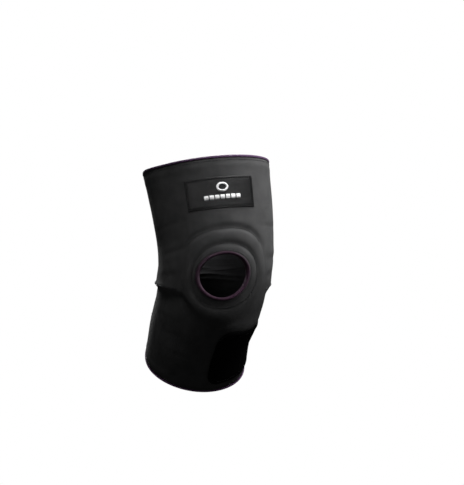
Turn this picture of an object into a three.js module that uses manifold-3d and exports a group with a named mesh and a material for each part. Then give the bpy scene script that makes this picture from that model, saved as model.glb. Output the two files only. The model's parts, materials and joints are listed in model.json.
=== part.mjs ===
// Knee brace: a pull-on neoprene sleeve with an open kneecap window, a ring pad round the
// window, a sewn label and a hook-and-loop strap round the calf.
//
// Millimetres. The origin is on the leg's axis at knee height, +Z is up, the front faces -Y
// and +X points to the inner (medial) side of a right leg. The knee is a little bent, as worn.

import * as THREE from 'three';
import Module from 'manifold-3d';

const wasm = await Module();
wasm.setup();

// ---------------------------------------------------------------- driving dimensions

const THIGH_LEAN = 20; // degrees that the sleeve leans back above the knee
const SHIN_LEAN = 22; // degrees that it leans back below the knee
const BEND_HALF = 45; // the bend reaches this far above and below the knee, along the leg
const SLEEVE_TOP = 122; // thigh hem, measured along the leg's axis
const SLEEVE_BOTTOM = -93.3; // calf hem
const WALL = 4; // neoprene laminate
const GAP = 0.5; // between stacked layers
const SLIT = 0.4; // between the edges of neighbouring panels

// Cross-sections: height along the axis, half width, sideways shift, depth before and behind, and
// roll in degrees, which lifts the +X side.
const SECTIONS = [
  { s: -94, half: 52, shift: -13.8, front: 53, rear: 58, roll: -3.3 },
  { s: -50, half: 53, shift: -10.7, front: 56, rear: 57, roll: -1.2 },
  { s: 0, half: 58.8, shift: 0, front: 62, rear: 55, roll: 0 },
  { s: 40, half: 60, shift: 4.5, front: 63, rear: 59, roll: 1.6 },
  { s: 80, half: 63, shift: 3.5, front: 64, rear: 64, roll: 2.7 },
  { s: 124, half: 65.5, shift: 0, front: 67, rear: 68, roll: 2.7 },
];

const SEAM_ANGLE = 115; // the vertical seams lie this far round from the front, in degrees
const THIGH_FRONT_EDGE = 62; // the stiff thigh and calf ends stop here, the bending part begins
const THIGH_BACK_EDGE = 75;
const CALF_FRONT_EDGE = -32;
const CALF_BACK_EDGE = -50;

const WINDOW = { angle: -2, height: 22.3, halfWidth: 27, halfHeight: 24, taper: 0.06 };
const WINDOW_BINDING = { narrows: 1.6, lip: 2, thickness: 0.6 }; // tape round the opening
const HEM_BINDING = { lip: 3, edge: 0.8, thickness: 0.7 }; // tape over the cut ends
const PAD = { halfWidth: 34, halfHeight: 39, thickness: 5, clearance: 1.2, flange: 3 };
const LINING = 0.8;
const ARCH = { halfWidth: 55, halfHeight: 52.7, from: 55, to: 125 };

const LABEL = { left: -35, right: 31, bottom: 69, top: 101, thickness: 0.9, margin: 1.8 };
const MOTIF = {
  angle: -0.5, ringHeight: 90.5, ringHalfAngle: 5.6, ringHalfHeight: 4.8, ringHole: 0.6,
  barHeight: 80.5, barHalfAngle: 17.5, barHalfHeight: 2.6,
};
const THREAD = 0.7;
const SEAM_TAPE = { halfAngle: 2.6, thickness: 0.7 };
const DART = { inner: 52, height: -2, halfWidth: 1.4, tip: 0.35, thickness: 0.7 };

const STRAP_THICKNESS = 1.6;
const STRAP_END = { angle: 1, top: -23, low: -84 }; // free end, on the front
const STRAP_HINGE = { angle: 80, top: -29, low: -80 }; // where the free end folds open
const STRAP_ROOT = { angle: 240, top: -48, low: -88 }; // sewn end, at the outer seam
const STRAP_CORNER = 12; // radius of the free end's corners
const STRAP_ROW = 4; // degrees from the patch's or the root's end to its row of stitches
const HOOK = { from: 8, to: 50, margin: 5, thickness: 1.1 };
const STRAP_BASE = HOOK.thickness + 2 * GAP; // the strap clears the hook patch and the seams

const COLOURS = {
  shell: 0x2b2b2d,
  lining: 0x1b1b1e,
  binding: 0x2a1b33,
  foam: 0x3a3a3c,
  label: 0x121214,
  thread: 0x202022,
  motif: 0xe6e6e6,
  strap: 0x070708,
  hook: 0x0d0d0e,
};

// ---------------------------------------------------------------- the sleeve's surface

const rad = THREE.MathUtils.degToRad;
const { lerp, smoothstep } = THREE.MathUtils;

function leanAt(s) {
  return rad(-SHIN_LEAN + (THIGH_LEAN + SHIN_LEAN) * smoothstep(s, -BEND_HALF, BEND_HALF));
}

// A point of the leg's bent axis, by the midpoint rule from the knee.
function axisPoint(s) {
  const steps = 24;
  let y = 0;
  let z = 0;
  for (let i = 0; i < steps; i += 1) {
    const lean = leanAt((s * (i + 0.5)) / steps);
    y += (Math.sin(lean) * s) / steps;
    z += (Math.cos(lean) * s) / steps;
  }
  return { y, z };
}

function slopeAt(index, key) {
  const before = SECTIONS[Math.max(index - 1, 0)];
  const after = SECTIONS[Math.min(index + 1, SECTIONS.length - 1)];
  return (after[key] - before[key]) / (after.s - before.s);
}

// A smooth curve through the cross-sections' values.
function sectionValue(s, key) {
  const last = SECTIONS.length - 2;
  const found = SECTIONS.findIndex((section, i) => i > last || s < SECTIONS[i + 1].s);
  const i = Math.min(found, last);
  const low = SECTIONS[i];
  const high = SECTIONS[i + 1];
  const span = high.s - low.s;
  const t = (s - low.s) / span;
  const bend = (t - 2 * t * t + t * t * t) * slopeAt(i, key) + (t * t * t - t * t) * slopeAt(i + 1, key);
  return lerp(low[key], high[key], t * t * (3 - 2 * t)) + bend * span;
}

// The point at `angle` degrees round from the front (+X side positive), `s` along the leg and
// `off` outside the sleeve's outer face.
function surfacePoint(angle, s, off) {
  const turn = rad(angle);
  const depth = sectionValue(s, Math.cos(turn) > 0 ? 'front' : 'rear') + off;
  const back = -depth * Math.cos(turn);
  const side = (sectionValue(s, 'half') + off) * Math.sin(turn);
  const rise = side * Math.tan(rad(sectionValue(s, 'roll')));
  const lean = leanAt(s);
  const axis = axisPoint(s);
  const y = axis.y + back * Math.cos(lean) + rise * Math.sin(lean);
  const z = axis.z - back * Math.sin(lean) + rise * Math.cos(lean);
  return new THREE.Vector3(sectionValue(s, 'shift') + side, y, z);
}

// Features on the front are laid out by arc length up the front centre line, from the knee.
function frontArc(s) {
  return s + sectionValue(s, 'front') * (leanAt(s) - leanAt(0));
}

function heightAtArc(arc) {
  let low = SLEEVE_BOTTOM;
  let high = SLEEVE_TOP;
  for (let i = 0; i < 40; i += 1) {
    const middle = (low + high) / 2;
    if (frontArc(middle) < arc) {
      low = middle;
    } else {
      high = middle;
    }
  }
  return (low + high) / 2;
}

// A place on the front given in millimetres from the window's centre.
function frontPlace(across, up) {
  const s = heightAtArc(WINDOW.height + up);
  const angle = WINDOW.angle + THREE.MathUtils.radToDeg(across / sectionValue(s, 'half'));
  return { angle, s };
}

function ovalPlace(turn, halfWidth, halfHeight) {
  const across = halfWidth * Math.cos(turn) * (1 + WINDOW.taper * Math.sin(turn));
  return frontPlace(across, halfHeight * Math.sin(turn));
}

// ---------------------------------------------------------------- solids from grids

function signedVolume(points, triangles) {
  let volume = 0;
  for (const [a, b, c] of triangles) {
    volume += points[a].dot(new THREE.Vector3().crossVectors(points[b], points[c])) / 6;
  }
  return volume;
}

function toGeometry(points, triangles) {
  const inward = signedVolume(points, triangles) < 0;
  const index = triangles.flatMap(([a, b, c]) => (inward ? [a, c, b] : [a, b, c]));
  const geometry = new THREE.BufferGeometry().setFromPoints(points);
  geometry.setIndex(index);
  geometry.computeVertexNormals();
  return geometry;
}

// Triangles that close an outline's end: a fan, or strips of quads where the outline is thin.
function fanEnd(sides) {
  const triangles = [];
  for (let k = 1; k < sides - 1; k += 1) {
    triangles.push([0, k, k + 1]);
  }
  return triangles;
}

function stripEnd(sides) {
  const triangles = [];
  for (let k = 0; k < sides / 2 - 1; k += 1) {
    const opposite = sides - 1 - k;
    triangles.push([k, k + 1, opposite - 1], [k, opposite - 1, opposite]);
  }
  return triangles;
}

// A solid swept along `steps` stations, each a closed outline of `sides` corners: at(a, k) with
// a from 0 to 1. A loop joins its last station to its first; an open solid gets two ends.
function sweep(steps, sides, loop, at, end = fanEnd) {
  const stations = loop ? steps : steps + 1;
  const points = [];
  for (let i = 0; i < stations; i += 1) {
    for (let k = 0; k < sides; k += 1) {
      points.push(at(i / steps, k));
    }
  }
  const triangles = [];
  for (let i = 0; i < steps; i += 1) {
    const here = i * sides;
    const next = ((i + 1) % stations) * sides;
    for (let k = 0; k < sides; k += 1) {
      const after = (k + 1) % sides;
      triangles.push([here + k, next + k, next + after], [here + k, next + after, here + after]);
    }
  }
  if (!loop) {
    const last = steps * sides;
    for (const [a, b, c] of end(sides)) {
      triangles.push([a, b, c], [last + a, last + c, last + b]);
    }
  }
  return toGeometry(points, triangles);
}

// A sheet with thickness: place(a, b) gives angle and height, offs(a, b) its inner and outer
// offsets. Its outline at station a runs out along the outer face and back along the inner one.
function sheet(along, across, loop, place, offs) {
  const sides = 2 * (across + 1);
  const at = (a, k) => {
    const outer = k <= across;
    const b = (outer ? k : sides - 1 - k) / across;
    const { angle, s } = place(a, b);
    return surfacePoint(angle, s, offs(a, b)[outer ? 1 : 0]);
  };
  return sweep(along, sides, loop, at, stripEnd);
}

// A flat panel between two angles, its lower and upper edges given as functions of the angle.
function panel(from, to, lower, upper, inner, outer, along, across) {
  const place = (a, b) => {
    const angle = lerp(from, to, a);
    return { angle, s: lerp(lower(angle), upper(angle), b) };
  };
  return sheet(along, across, false, place, () => [inner, outer]);
}

const level = (s) => () => s;

// A square thread laid along a route of places on the sleeve, standing on offset `base`.
function thread(steps, loop, route, base) {
  const ahead = 0.002;
  const at = (a, k) => {
    const here = route(a);
    const next = route(a + ahead);
    const radius = sectionValue(here.s, 'half');
    const along = new THREE.Vector2(rad(next.angle - here.angle) * radius, next.s - here.s).normalize();
    const side = (k === 0 || k === 3 ? -0.5 : 0.5) * THREAD;
    const up = (k < 2 ? 0 : 1) * THREAD;
    const angle = here.angle + THREE.MathUtils.radToDeg((side * along.y) / radius);
    return surfacePoint(angle, here.s - side * along.x, base + up);
  };
  return sweep(steps, 4, loop, at);
}

// ---------------------------------------------------------------- sleeve

function frontPanel(lower, upper, across) {
  const edge = SEAM_ANGLE - SLIT;
  return panel(-edge, edge, level(lower), level(upper), -WALL, 0, 28, across);
}

function backPanel(lower, upper, across) {
  const edge = SEAM_ANGLE + SLIT;
  return panel(edge, 360 - edge, level(lower), level(upper), -WALL, 0, 16, across);
}

function toManifold(geometry) {
  const vertProperties = geometry.getAttribute('position').array;
  const triVerts = new Uint32Array(geometry.getIndex().array);
  return new wasm.Manifold(new wasm.Mesh({ numProp: 3, vertProperties, triVerts }));
}

function cut(geometry, cutter) {
  const mesh = toManifold(geometry).subtract(toManifold(cutter)).getMesh();
  const result = new THREE.BufferGeometry();
  result.setAttribute('position', new THREE.BufferAttribute(mesh.vertProperties, 3));
  result.setIndex(new THREE.BufferAttribute(mesh.triVerts, 1));
  result.computeVertexNormals();
  return result;
}

// The knee panel is a front panel with the window cut through it.
function kneeFrontPanel() {
  const wholePanel = frontPanel(CALF_FRONT_EDGE + SLIT, THIGH_FRONT_EDGE - SLIT, 9);
  const reach = 10; // past both faces, because the ends of the plug are flat
  const sides = 40;
  const plug = sweep(1, sides, false, (a, k) => {
    const turn = (k / sides) * 2 * Math.PI;
    const { angle, s } = ovalPlace(turn, WINDOW.halfWidth, WINDOW.halfHeight);
    return surfacePoint(angle, s, lerp(-WALL - reach, reach, a));
  });
  return cut(wholePanel, plug);
}

// A U-shaped channel that wraps the cut edge of a hem; `outward` is +1 at the top hem.
function hemBinding(edge, outward) {
  const { lip, thickness } = HEM_BINDING;
  const outer = GAP + thickness;
  const inner = -WALL - GAP - thickness;
  const profile = [
    [outer, -lip], [outer, 0], [inner, 0], [inner, -lip],
    [-WALL - GAP, -lip], [-WALL - GAP, -HEM_BINDING.edge], [GAP, -HEM_BINDING.edge], [GAP, -lip],
  ];
  return sweep(44, profile.length, true, (a, k) => {
    const [off, inset] = profile[k];
    return surfacePoint(a * 360, edge + outward * inset, off);
  });
}

function hemStitching(s) {
  return thread(44, true, (a) => ({ angle: a * 360, s }), GAP);
}

function seamTape(side, lower, upper, steps) {
  const centre = side * SEAM_ANGLE;
  const place = (a, b) => ({
    angle: centre + lerp(-SEAM_TAPE.halfAngle, SEAM_TAPE.halfAngle, b),
    s: lerp(lower, upper, a),
  });
  return sheet(steps, 2, false, place, () => [GAP, GAP + SEAM_TAPE.thickness]);
}

function sideDart(side) {
  const outer = SEAM_ANGLE - SEAM_TAPE.halfAngle - 1;
  const place = (a, b) => {
    const width = DART.halfWidth * Math.min(1, DART.tip + 2 * a); // narrow at the inner tip
    return { angle: side * lerp(DART.inner, outer, a), s: DART.height + lerp(-width, width, b) };
  };
  return sheet(9, 1, false, place, () => [GAP, GAP + DART.thickness]);
}

// ---------------------------------------------------------------- kneecap ring

function ovalRing(innerSize, outerSize, inner, outer, across) {
  const place = (a, b) => {
    const turn = a * 2 * Math.PI;
    return ovalPlace(turn, lerp(innerSize[0], outerSize[0], b), lerp(innerSize[1], outerSize[1], b));
  };
  return sheet(40, across, true, place, () => [inner, outer]);
}

function patellaPad() {
  const outer = -WALL - GAP;
  const { clearance, halfWidth, halfHeight, thickness } = PAD;
  return ovalRing([WINDOW.halfWidth + clearance, WINDOW.halfHeight + clearance],
    [halfWidth + 1, halfHeight + 1], outer - thickness, outer, 2);
}

function padLining() {
  const outer = -WALL - PAD.thickness - 2 * GAP;
  const { clearance, halfWidth, halfHeight, flange } = PAD;
  return ovalRing([WINDOW.halfWidth + clearance, WINDOW.halfHeight + clearance],
    [halfWidth + flange, halfHeight + flange], outer - LINING, outer, 2);
}

// The binding wraps the window's cut edge: a U-shaped channel that opens away from the hole.
function windowBinding() {
  const { narrows, lip, thickness } = WINDOW_BINDING;
  const outer = GAP + thickness;
  const inner = -WALL - PAD.thickness - 3 * GAP - LINING - thickness;
  const profile = [
    [outer, lip], [outer, -narrows], [inner, -narrows], [inner, lip],
    [inner + thickness, lip], [inner + thickness, -GAP], [GAP, -GAP], [GAP, lip],
  ];
  return sweep(40, profile.length, true, (a, k) => {
    const [off, grow] = profile[k];
    const { angle, s } = ovalPlace(a * 2 * Math.PI, WINDOW.halfWidth + grow, WINDOW.halfHeight + grow);
    return surfacePoint(angle, s, off);
  });
}

function padStitching() {
  return thread(44, true, (a) => ovalPlace(a * 2 * Math.PI, PAD.halfWidth, PAD.halfHeight), GAP);
}

function archStitching() {
  const route = (a) => {
    const turn = rad(lerp(ARCH.from, ARCH.to, a));
    return frontPlace(ARCH.halfWidth * Math.cos(turn), ARCH.halfHeight * Math.sin(turn));
  };
  return thread(18, false, route, GAP);
}

// ---------------------------------------------------------------- label

function labelPatch() {
  const outer = GAP + LABEL.thickness;
  return panel(LABEL.left, LABEL.right, level(LABEL.bottom), level(LABEL.top), GAP, outer, 10, 3);
}

// A place `inset` millimetres inside the label's edge, with a from 0 to 1 round it.
function labelBorder(a, inset) {
  const insetAngle = THREE.MathUtils.radToDeg(inset / sectionValue(LABEL.bottom, 'half'));
  const left = LABEL.left + insetAngle;
  const right = LABEL.right - insetAngle;
  const bottom = LABEL.bottom + inset;
  const top = LABEL.top - inset;
  const corners = [[left, bottom], [right, bottom], [right, top], [left, top], [left, bottom]];
  const walk = a * 4;
  const side = Math.min(Math.floor(walk), 3);
  const [angle, s] = corners[side];
  const [nextAngle, nextS] = corners[side + 1];
  return { angle: lerp(angle, nextAngle, walk - side), s: lerp(s, nextS, walk - side) };
}

const LABEL_FACE = 2 * GAP + LABEL.thickness; // what is sewn on the label starts at this offset

function labelStitching() {
  const place = (a, b) => labelBorder(a, LABEL.margin + b * THREAD);
  return sheet(32, 1, true, place, () => [LABEL_FACE, LABEL_FACE + THREAD]);
}

// A generic device in raised thread: a plain oval ring over a plain bar.
function labelMotif() {
  const { angle, ringHeight, ringHalfAngle, ringHalfHeight, ringHole } = MOTIF;
  const place = (a, b) => {
    const turn = a * 2 * Math.PI;
    const size = lerp(1, ringHole, b);
    return {
      angle: angle + ringHalfAngle * size * Math.cos(turn),
      s: ringHeight + ringHalfHeight * size * Math.sin(turn),
    };
  };
  return sheet(24, 1, true, place, () => [LABEL_FACE, LABEL_FACE + THREAD]);
}

function labelBar() {
  const { angle, barHeight, barHalfAngle, barHalfHeight } = MOTIF;
  return panel(angle - barHalfAngle, angle + barHalfAngle, level(barHeight - barHalfHeight),
    level(barHeight + barHalfHeight), LABEL_FACE, LABEL_FACE + THREAD, 8, 1);
}

// ---------------------------------------------------------------- strap

// Height of the strap's 'top' or 'low' edge.
function strapEdge(angle, key) {
  const [from, to] = angle < STRAP_HINGE.angle ? [STRAP_END, STRAP_HINGE] : [STRAP_HINGE, STRAP_ROOT];
  return lerp(from[key], to[key], (angle - from.angle) / (to.angle - from.angle));
}

const strapTop = (angle) => strapEdge(angle, 'top');
const strapLow = (angle) => strapEdge(angle, 'low');

function strapPiece(from, to, lower, upper, along) {
  return panel(from, to, lower, upper, STRAP_BASE, STRAP_BASE + STRAP_THICKNESS, along, 5);
}

// The free end has rounded corners.
function tabRounding(angle) {
  const radius = STRAP_CORNER;
  const along = rad(angle - STRAP_END.angle) * sectionValue(STRAP_END.low, 'front');
  if (along >= radius) {
    return 0;
  }
  return radius - Math.sqrt(Math.max(0, radius * radius - (radius - along) ** 2));
}

function strapTab() {
  const lower = (angle) => strapLow(angle) + tabRounding(angle);
  const upper = (angle) => strapTop(angle) - tabRounding(angle);
  return strapPiece(STRAP_END.angle, STRAP_HINGE.angle - SLIT, lower, upper, 20);
}

function strapBand() {
  return strapPiece(STRAP_HINGE.angle + SLIT, STRAP_ROOT.angle, strapLow, strapTop, 22);
}

function hookPatch() {
  const lower = (angle) => strapLow(angle) + HOOK.margin;
  const upper = (angle) => strapTop(angle) - HOOK.margin;
  return panel(HOOK.from, HOOK.to, lower, upper, GAP, GAP + HOOK.thickness, 8, 4);
}

function strapRow(angle) {
  const margin = 4;
  const route = (a) => ({ angle, s: lerp(strapLow(angle) + margin, strapTop(angle) - margin, a) });
  return thread(6, false, route, STRAP_BASE + STRAP_THICKNESS + GAP);
}

// ---------------------------------------------------------------- assembly

const brace = new THREE.Group();

function add(name, geometry, colour, roughness = 0.9) {
  const material = new THREE.MeshStandardMaterial({ color: COLOURS[colour], roughness, metalness: 0 });
  const mesh = new THREE.Mesh(geometry, material);
  mesh.name = name;
  brace.add(mesh);
}

const PANEL_TOP = SLEEVE_TOP - HEM_BINDING.edge - GAP;
const PANEL_BOTTOM = SLEEVE_BOTTOM + HEM_BINDING.edge + GAP;
const HEM_ROW = 4.2; // hem stitching runs this far inside the hem

add('thigh_front_panel', frontPanel(THIGH_FRONT_EDGE, PANEL_TOP, 4), 'shell');
add('thigh_back_panel', backPanel(THIGH_BACK_EDGE, PANEL_TOP, 4), 'shell');
add('knee_front_panel', kneeFrontPanel(), 'shell');
add('popliteal_panel', backPanel(CALF_BACK_EDGE + SLIT, THIGH_BACK_EDGE - SLIT, 9), 'shell');
add('calf_front_panel', frontPanel(PANEL_BOTTOM, CALF_FRONT_EDGE, 4), 'shell');
add('calf_back_panel', backPanel(PANEL_BOTTOM, CALF_BACK_EDGE, 4), 'shell');
add('thigh_hem_binding', hemBinding(SLEEVE_TOP, 1), 'binding', 0.7);
add('calf_hem_binding', hemBinding(SLEEVE_BOTTOM, -1), 'binding', 0.7);
add('thigh_hem_stitching', hemStitching(SLEEVE_TOP - HEM_ROW), 'thread');
add('calf_hem_stitching', hemStitching(SLEEVE_BOTTOM + HEM_ROW), 'thread');

for (const [word, side] of [['lateral', -1], ['medial', 1]]) {
  const thighEnd = SLEEVE_TOP - HEM_ROW - 1;
  add(`thigh_seam_${word}`, seamTape(side, THIGH_BACK_EDGE, thighEnd, 4), 'thread');
  add(`knee_seam_${word}`, seamTape(side, CALF_BACK_EDGE + SLIT, THIGH_BACK_EDGE - SLIT, 9), 'thread');
  add(`calf_seam_${word}`, seamTape(side, SLEEVE_BOTTOM + HEM_ROW + 1, CALF_BACK_EDGE, 4), 'thread');
  add(`side_dart_${word}`, sideDart(side), 'thread');
}

add('patella_pad', patellaPad(), 'foam');
add('pad_lining', padLining(), 'lining');
add('window_binding', windowBinding(), 'binding', 0.7);
add('pad_stitching', padStitching(), 'thread');
add('arch_stitching', archStitching(), 'thread');

add('label_patch', labelPatch(), 'label', 0.8);
add('label_stitching', labelStitching(), 'thread');
add('label_motif', labelMotif(), 'motif', 0.6);
add('label_bar', labelBar(), 'motif', 0.6);

add('strap_tab', strapTab(), 'strap');
add('hook_patch', hookPatch(), 'hook', 0.6);
add('strap_tab_stitching', strapRow(HOOK.to - STRAP_ROW), 'thread');
add('strap_band', strapBand(), 'strap');
add('strap_root_stitching', strapRow(STRAP_ROOT.angle - STRAP_ROW), 'thread');

export default brace;
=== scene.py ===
import json
import math

import bpy
import numpy as np
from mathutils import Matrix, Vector


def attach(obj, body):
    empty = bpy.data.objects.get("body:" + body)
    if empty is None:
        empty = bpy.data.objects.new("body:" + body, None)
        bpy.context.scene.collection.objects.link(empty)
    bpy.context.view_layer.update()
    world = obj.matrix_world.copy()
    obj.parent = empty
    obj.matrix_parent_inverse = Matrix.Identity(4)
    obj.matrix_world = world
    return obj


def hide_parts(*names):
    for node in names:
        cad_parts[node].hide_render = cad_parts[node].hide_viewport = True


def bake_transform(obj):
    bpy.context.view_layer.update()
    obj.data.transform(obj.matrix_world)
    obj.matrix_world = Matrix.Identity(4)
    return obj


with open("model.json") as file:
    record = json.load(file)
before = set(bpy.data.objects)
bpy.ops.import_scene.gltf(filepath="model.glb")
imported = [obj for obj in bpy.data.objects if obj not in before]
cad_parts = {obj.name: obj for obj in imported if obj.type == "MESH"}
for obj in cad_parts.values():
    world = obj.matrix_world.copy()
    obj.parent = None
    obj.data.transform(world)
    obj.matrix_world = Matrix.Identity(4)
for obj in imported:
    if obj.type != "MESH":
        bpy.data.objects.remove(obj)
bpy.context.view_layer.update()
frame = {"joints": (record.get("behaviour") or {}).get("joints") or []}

MM = 0.001  # shapes are worked out in millimetres, and meshes are made in metres

# ---- the sleeve, as in the CAD

THIGH_LEAN = 20.0
SHIN_LEAN = 22.0
BEND_HALF = 45.0
SLEEVE_TOP = 122.0
SLEEVE_BOTTOM = -93.3
WALL = 4.0
SEAM_ANGLE = 115.0

SECTIONS = {
    "s": [-94, -50, 0, 40, 80, 124],
    "half": [52, 53, 58.8, 60, 63, 65.5],
    "shift": [-13.8, -10.7, 0, 4.5, 3.5, 0],
    "front": [53, 56, 62, 63, 64, 67],
    "rear": [58, 57, 55, 59, 64, 68],
    "roll": [-3.3, -1.2, 0, 1.6, 2.7, 2.7],
}

# The worn thigh hem is drawn up on its outer side: by this height, round this angle, from this s upwards.
HEM_RISE = {"height": 2.6, "angle": -92, "reach": 26, "from": 84}

WINDOW_ANGLE = -2.0
WINDOW_HEIGHT = 22.3
WINDOW_TAPER = 0.06

# Half sizes of three ovals round the window's centre: to the inner (medial) and outer side, up and down.
WINDOW_OVAL = {"inner": 27, "outer": 28.5, "above": 24, "below": 24}
GROOVE_OVAL = {"inner": 37.5, "outer": 35, "above": 34, "below": 32.5}
PAD_OVAL = {"inner": 51, "outer": 47, "above": 49.5, "below": 53}
PAD_SHOULDER = 5  # the pad's upper half is this much wider on the outer side

CLOTH_RADIUS = 60.0  # the leg's mean radius, which turns degrees into millimetres of cloth
STRAP_RADIUS = 56  # the same under the strap

LABEL = {"left": -35.0, "right": 31.0, "bottom": 69.0, "top": 101.0}
LABEL_HALF_WIDTH = 36
LABEL_HALF_HEIGHT = 16
MOTIF_ANGLE = -0.5
MOTIF_RING = 90.5  # height of the ring's centre
MOTIF_BAR = 80.5  # height of the middle of the row of blocks
STRAP_ANGLES = [1.0, 80.0, 240.0]  # free end, hinge and sewn root
STRAP_TOPS = [-23.0, -29.0, -48.0]
STRAP_LOWS = [-84.0, -80.0, -88.0]
STRAP_CORNER = 12.0


def smoothstep(x, low, high):
    t = np.clip((np.asarray(x, float) - low) / (high - low), 0, 1)
    return t * t * (3 - 2 * t)


def bump_at(x, centre, width):
    return np.exp(-(((x - centre) / width) ** 2))


def signed(angle):
    """The angle from -180 to 180 degrees: below 0 on the leg's outer side, above 0 on its inner side."""
    return (np.asarray(angle, float) + 180) % 360 - 180


def lean_at(s):
    return np.radians(-SHIN_LEAN + (THIGH_LEAN + SHIN_LEAN) * smoothstep(s, -BEND_HALF, BEND_HALF))


def axis_point(s):
    """The leg's bent axis at s, by the midpoint rule from the knee."""
    s = np.asarray(s, float)
    steps = 24
    y = np.zeros_like(s)
    z = np.zeros_like(s)
    for i in range(steps):
        lean = lean_at(s * (i + 0.5) / steps)
        y += np.sin(lean) * s / steps
        z += np.cos(lean) * s / steps
    return y, z


def section_value(s, key):
    """A smooth curve through the cross-sections' values."""
    at = np.array(SECTIONS["s"], float)
    value = np.array(SECTIONS[key], float)
    before = np.r_[0, np.arange(len(at) - 1)]
    after = np.r_[np.arange(1, len(at)), len(at) - 1]
    slope = (value[after] - value[before]) / (at[after] - at[before])
    s = np.asarray(s, float)
    i = np.clip(np.searchsorted(at, s, side="right") - 1, 0, len(at) - 2)
    span = at[i + 1] - at[i]
    t = (s - at[i]) / span
    blend = value[i] + (value[i + 1] - value[i]) * t * t * (3 - 2 * t)
    bend = (t - 2 * t**2 + t**3) * slope[i] + (t**3 - t**2) * slope[i + 1]
    return blend + bend * span


def surface(angle, s, off):
    """Points (n, 3) in millimetres, `off` outside the sleeve's outer face."""
    angle, s, off = np.broadcast_arrays(*(np.asarray(value, float) for value in (angle, s, off)))
    turn = np.radians(angle)
    rise_here = HEM_RISE["height"] * bump_at(signed(angle), HEM_RISE["angle"], HEM_RISE["reach"])
    s = s + rise_here * smoothstep(s, HEM_RISE["from"], SLEEVE_TOP)
    depth = np.where(np.cos(turn) > 0, section_value(s, "front"), section_value(s, "rear")) + off
    back = -depth * np.cos(turn)
    side = (section_value(s, "half") + off) * np.sin(turn)
    rise = side * np.tan(np.radians(section_value(s, "roll")))
    lean = lean_at(s)
    y, z = axis_point(s)
    x = section_value(s, "shift") + side
    y = y + back * np.cos(lean) + rise * np.sin(lean)
    return np.stack([x, y, z - back * np.sin(lean) + rise * np.cos(lean)], -1)


def front_arc(s):
    """Length up the front centre line from the knee."""
    return s + section_value(s, "front") * (lean_at(s) - lean_at(0.0))


ARC_HEIGHTS = np.linspace(SLEEVE_BOTTOM - 6, SLEEVE_TOP + 6, 1200)
ARC_LENGTHS = front_arc(ARC_HEIGHTS)


def front_place(across, up):
    """Angle and height of a point given in millimetres from the window's centre."""
    s = np.interp(WINDOW_HEIGHT + up, ARC_LENGTHS, ARC_HEIGHTS)
    angle = WINDOW_ANGLE + np.degrees(across / section_value(s, "half"))
    return angle, s


def window_polar(angle, s):
    """Distance and direction from the window's centre, over the sleeve's front."""
    across = np.radians(signed(np.asarray(angle, float) - WINDOW_ANGLE)) * section_value(s, "half")
    up = front_arc(s) - WINDOW_HEIGHT
    return np.hypot(across, up), np.arctan2(up, across)


def oval_radius(turn, width, above, below, power=2.0):
    """Radius of an oval with different heights above and below its centre."""
    height = np.where(np.sin(turn) > 0, above, below)
    across = np.abs(np.cos(turn) / width) ** power
    up = np.abs(np.sin(turn) / height) ** power
    return (across + up) ** (-1 / power)


def half_width(turn, oval):
    return np.where(np.cos(turn) > 0, oval["inner"], oval["outer"])


def hole_radius(turn, grow=0.0):
    """The window's edge, a little wider at its top than below."""
    taper = 1 + WINDOW_TAPER * np.sin(turn)
    width = half_width(turn, WINDOW_OVAL) + grow
    return oval_radius(turn, width * taper, WINDOW_OVAL["above"] + grow, WINDOW_OVAL["below"] + grow)


def groove_radius(turn):
    """The stitched line between the flat collar round the window and the puffed pad."""
    width = half_width(turn, GROOVE_OVAL)
    return oval_radius(turn, width, GROOVE_OVAL["above"], GROOVE_OVAL["below"], power=2.2)


def pad_radius(turn):
    """The pad's outer edge, squarer in its upper half."""
    upper = smoothstep(np.sin(turn), 0.1, 0.8)
    shoulder = np.where(np.cos(turn) > 0, 0, PAD_SHOULDER * upper)
    width = half_width(turn, PAD_OVAL) + shoulder
    return oval_radius(turn, width, PAD_OVAL["above"], PAD_OVAL["below"], power=2.0 + 0.5 * upper)


# ---- relief of the outer face


# How full the pad and how deep its stitched groove is, by the direction from the window's centre:
# in degrees from the inner (medial) side, upwards.
RING_TURNS = [-60, 0, 45, 90, 135, 180, 225, 270, 300]
PAD_FULLNESS = [0.4, 0.5, 0.8, 0.7, 0.7, 1.0, 1.2, 1.1, 0.4]
GROOVE_DEPTH = [0.15, 0.3, 1.15, 0.8, 0.7, 1.3, 0.25, 0.02, 0.05]
GROOVE_WIDTH = 2.7
COLLAR_RISE = 0.4
ARCH_DEPTH = 1.2  # of the stitched arch along the pad's upper edge
ARCH_WIDTH = 3.4


def ring_relief(angle, s):
    """A flat collar round the window, a stitched groove, and the puffed pad outside it."""
    radius, turn = window_polar(angle, s)
    hole, groove, pad = hole_radius(turn), groove_radius(turn), pad_radius(turn)
    direction = (np.degrees(turn) + 60) % 360 - 60
    collar = np.clip((radius - hole) / (groove - hole), 0, 1)
    bead = np.clip((radius - groove) / (pad - groove), 0, 1)
    height = COLLAR_RISE * smoothstep(np.sin(turn), -0.6, 0.6) * (1 - collar**3)
    height += np.interp(direction, RING_TURNS, PAD_FULLNESS) * np.sin(np.pi * bead**0.9) ** 1.1
    height -= np.interp(direction, RING_TURNS, GROOVE_DEPTH) * bump_at(radius, groove, GROOVE_WIDTH)
    height -= ARCH_DEPTH * smoothstep(np.sin(turn), 0.4, 0.85) * bump_at(radius, pad + 1.0, ARCH_WIDTH)
    return height


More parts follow.
